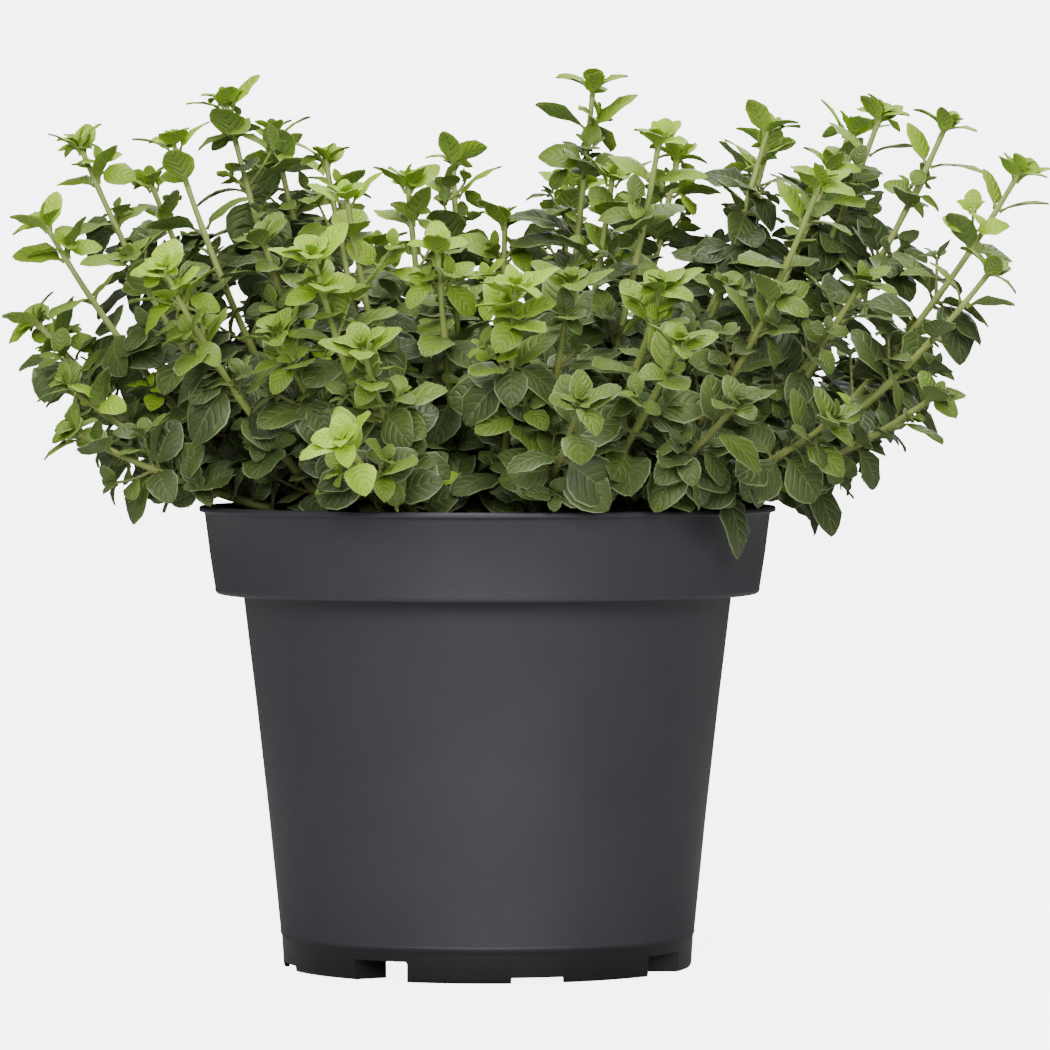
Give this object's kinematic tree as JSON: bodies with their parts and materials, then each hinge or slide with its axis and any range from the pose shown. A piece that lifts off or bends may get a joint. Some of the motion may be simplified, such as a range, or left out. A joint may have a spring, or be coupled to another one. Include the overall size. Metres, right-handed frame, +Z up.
{
  "type": "oregano plant in a nursery pot",
  "caption": "Bushy potted oregano: square leafy stems with opposite ovate leaves, standing in soil in a tapered plastic nursery pot with a deep rim band.",
  "frame": {"origin": "on the pot's axis, on the ground, at the middle of the flat disc under the pot", "axes": "+Z up along the pot's axis, -Y towards the viewer of the picture, +X to the viewer's right along the plant's widest spread"},
  "size_m": [0.2335, 0.1874, 0.2003],
  "materials": {
    "pot_plastic": "moulded polypropylene, dark bluish grey, satin, glossier at the foot",
    "potting_soil": null,
    "oregano_green": null
  },
  "bodies": {
    "root": {"pot": "pot_plastic", "soil": "potting_soil", "stem_back_centre": "oregano_green", "stem_back_left": "oregano_green", "stem_back_right": "oregano_green", "stem_centre_front": "oregano_green", "stem_centre_left": "oregano_green", "stem_centre_low": "oregano_green", "stem_centre_pale": "oregano_green", "stem_centre_tall": "oregano_green", "stem_crown_back": "oregano_green", "stem_crown_left": "oregano_green", "stem_crown_rear": "oregano_green", "stem_crown_top": "oregano_green", "stem_front_bright": "oregano_green", "stem_front_centre": "oregano_green", "stem_front_fork": "oregano_green", "stem_front_left_bright": "oregano_green", "stem_front_low": "oregano_green", "stem_front_right_pale": "oregano_green", "stem_front_right_tall": "oregano_green", "stem_front_shoot": "oregano_green", "stem_hairy": "oregano_green", "stem_left_bright": "oregano_green", "stem_left_front": "oregano_green", "stem_left_high": "oregano_green", "stem_left_inner": "oregano_green", "stem_left_low": "oregano_green", "stem_left_middle": "oregano_green", "stem_left_shelf": "oregano_green", "stem_left_side": "oregano_green", "stem_left_trailing": "oregano_green", "stem_middle_front": "oregano_green", "stem_middle_pale": "oregano_green", "stem_rear_left": "oregano_green", "stem_rear_left_low": "oregano_green", "stem_rear_middle": "oregano_green", "stem_rear_right": "oregano_green", "stem_rear_right_low": "oregano_green", "stem_rear_rim": "oregano_green", "stem_rear_rim_left": "oregano_green", "stem_rear_rim_right": "oregano_green", "stem_right_back": "oregano_green", "stem_right_bare": "oregano_green", "stem_right_crown": "oregano_green", "stem_right_far": "oregano_green", "stem_right_front": "oregano_green", "stem_right_hanging": "oregano_green", "stem_right_high": "oregano_green", "stem_right_inner": "oregano_green", "stem_right_low": "oregano_green", "stem_right_lower": "oregano_green", "stem_right_mid": "oregano_green", "stem_right_outer": "oregano_green", "stem_right_reaching": "oregano_green", "stem_right_rear": "oregano_green", "stem_right_twig": "oregano_green", "stem_rim_centre": "oregano_green", "stem_rim_far_right": "oregano_green", "stem_rim_right": "oregano_green"}
  },
  "joints": []
}
